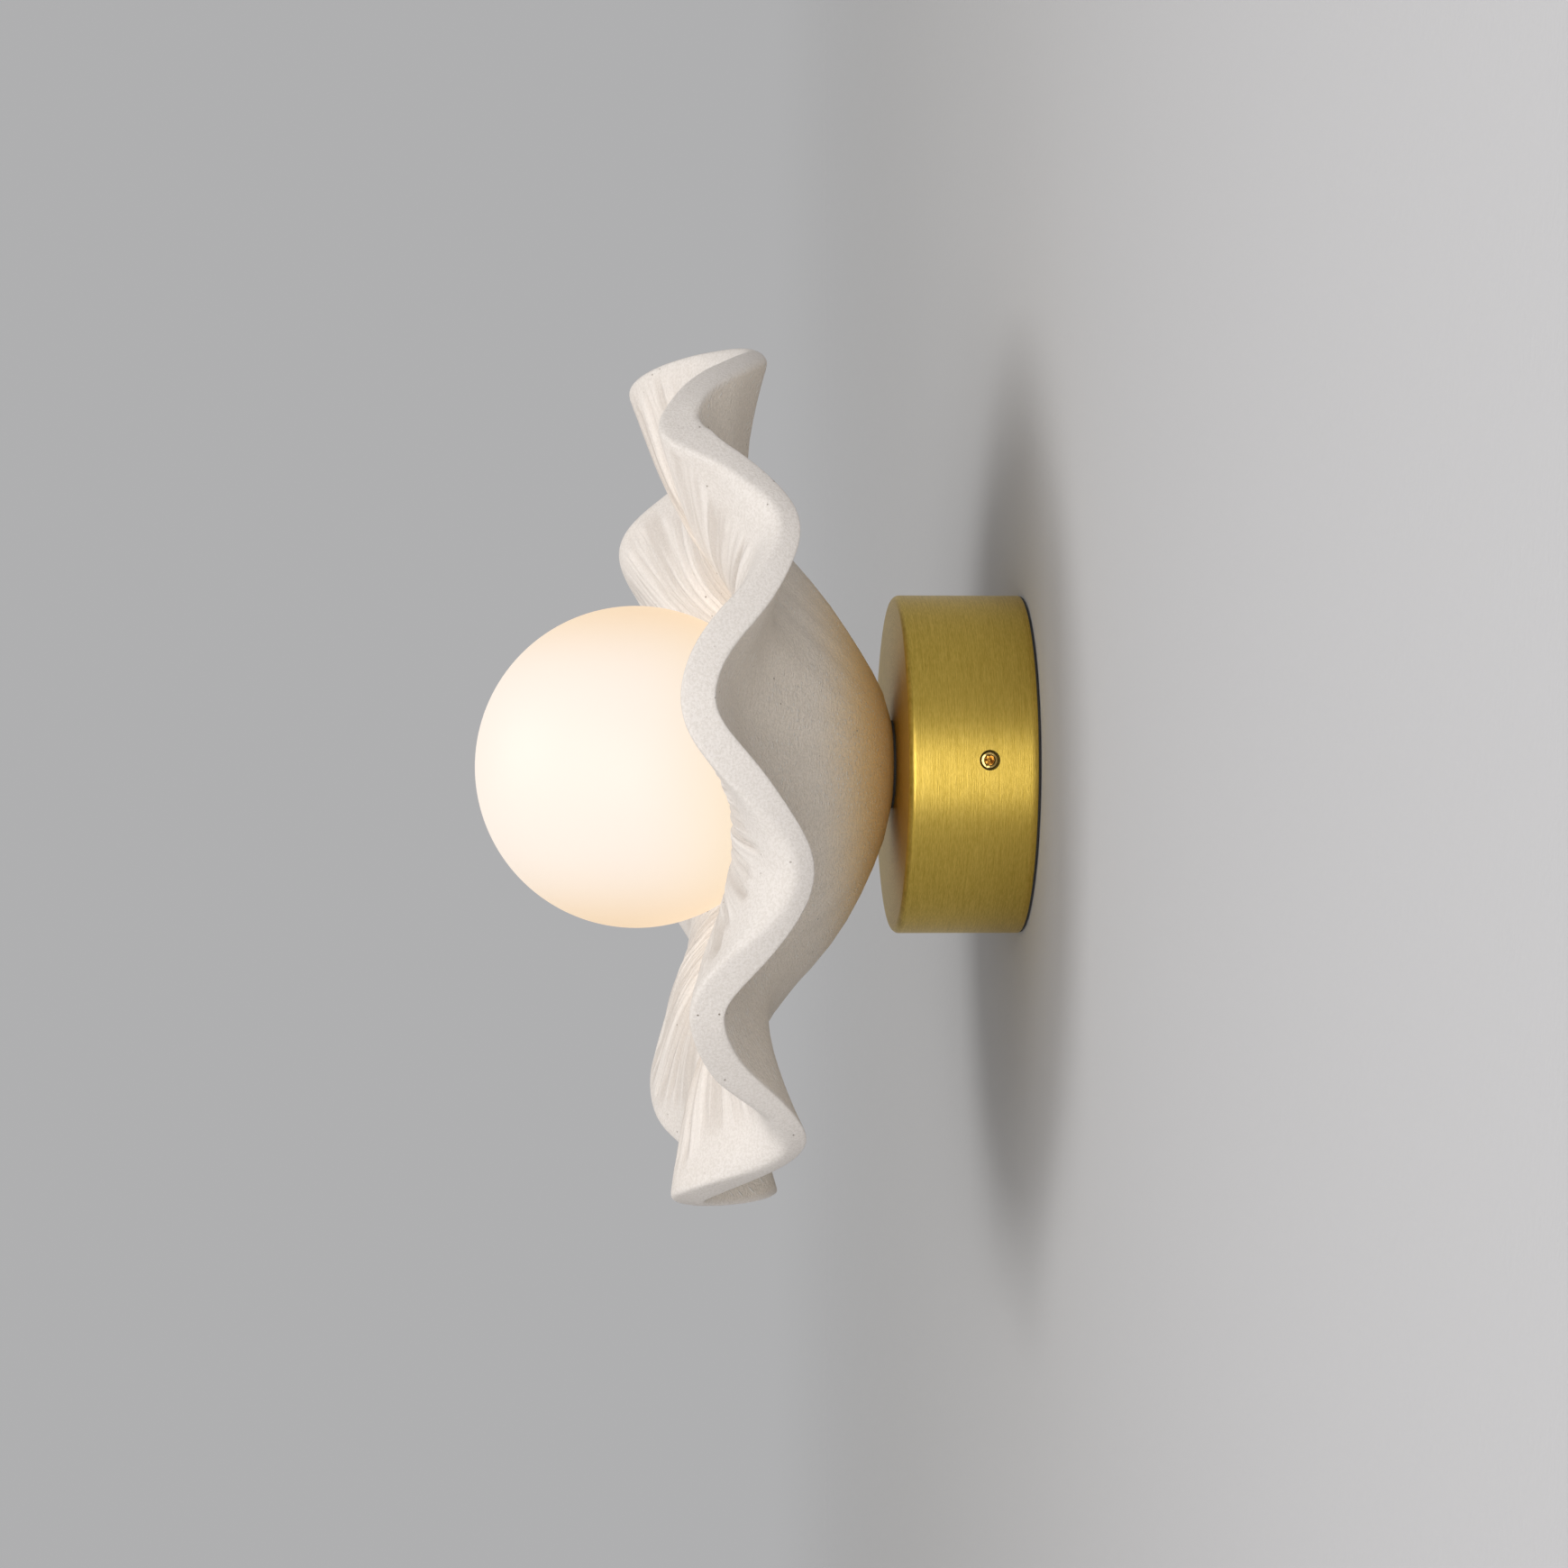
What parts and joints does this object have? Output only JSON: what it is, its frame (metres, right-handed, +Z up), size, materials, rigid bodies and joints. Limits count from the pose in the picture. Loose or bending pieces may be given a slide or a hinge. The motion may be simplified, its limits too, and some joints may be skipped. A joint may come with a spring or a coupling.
{
  "type": "wall light",
  "caption": "Wall light with a ruffled shell-like ceramic shade behind an opal glass globe, carried on a round brass wall cup that hides its bracket and wiring.",
  "frame": {"origin": "centre of the bracket's two wall slots, on the wall plane, on the axis of the cup and globe", "axes": "+Y into the wall, so the light stands out along -Y; +Z up; +X to the right of a person facing the light"},
  "size_m": [0.2533, 0.1613, 0.2527],
  "materials": {
    "bisque_ceramic": "off-white unglazed clay, combed with fine radial grooves inside, sandy outside",
    "opal_glass": "satin white opal glass, lit warm from inside",
    "brushed_brass": "brushed round the axis, satin",
    "screw_brass": "plain turned brass",
    "contact_brass": "bright, unfinished",
    "zinc_steel": "bright zinc plating",
    "rubber_black": "matte black rubber",
    "silicone": "milky silicone",
    "lampholder_ceramic": "cream steatite, lightly glazed",
    "lamp_plastic": "white moulded",
    "lamp_glass": "clear",
    "led_board": "white board with yellow chips",
    "terminal_plastic": "natural nylon",
    "lead_brown": "brown silicone sleeve",
    "lead_blue": "blue silicone sleeve",
    "lead_green_yellow": "green and yellow sleeve"
  },
  "bodies": {
    "wall_plate": {"wall_bracket": "zinc_steel"},
    "fitting": {"wall_gasket": "rubber_black", "wall_cup": "brushed_brass", "set_screw_bosses": "brushed_brass", "strap": "zinc_steel", "lock_washer": "zinc_steel", "lock_nut": "zinc_steel", "threaded_tube": "zinc_steel", "cup_washer": "rubber_black", "ceramic_shade": "bisque_ceramic", "shade_washer": "silicone", "globe_holder": "brushed_brass", "holder_nut": "zinc_steel", "lampholder_cap": "zinc_steel", "lampholder_body": "lampholder_ceramic", "lampholder_contacts": "contact_brass", "terminal_block": "terminal_plastic", "terminal_inserts": "contact_brass", "terminal_screws": "zinc_steel", "terminal_fixing_screw": "zinc_steel", "earth_tag": "contact_brass", "earth_screw": "screw_brass", "live_lead": "lead_brown", "neutral_lead": "lead_blue", "earth_lead": "lead_green_yellow"},
    "set_screw_right": {"set_screw_right": "screw_brass"},
    "set_screw_left": {"set_screw_left": "screw_brass"},
    "seal": {"globe_seal": "silicone"},
    "globe": {"glass_globe": "opal_glass"},
    "lamp": {"lamp_base": "lamp_plastic", "lamp_pins": "contact_brass", "lamp_cover": "lamp_glass", "led_board": "led_board"}
  },
  "joints": [
    {"name": "cup_slide", "type": "slide", "parent": "wall_plate", "child": "fitting", "axis": [0, -1, 0], "range_m": [0, 0.025]},
    {"name": "set_screw_right_back_out", "type": "slide", "parent": "fitting", "child": "set_screw_right", "axis": [1, 0, 0], "range_m": [0, 0.0025]},
    {"name": "set_screw_left_back_out", "type": "slide", "parent": "fitting", "child": "set_screw_left", "axis": [-1, 0, 0], "range_m": [0, 0.0025]},
    {"name": "globe_travel", "type": "slide", "parent": "fitting", "child": "seal", "axis": [0, -1, 0], "range_m": [0, 0.0082]},
    {"name": "globe_turn", "type": "hinge", "parent": "seal", "child": "globe", "pos_m": [0, -0.07, -0.0008], "axis": [0, -1, 0], "range_deg": [0, 720]},
    {"name": "lamp_pull", "type": "slide", "parent": "fitting", "child": "lamp", "axis": [0, -1, 0], "range_m": [0, 0.007]}
  ],
  "couplings": [
    {"joint": "globe_travel", "follows": "globe_turn", "m_per_rad": 0.00063662}
  ]
}
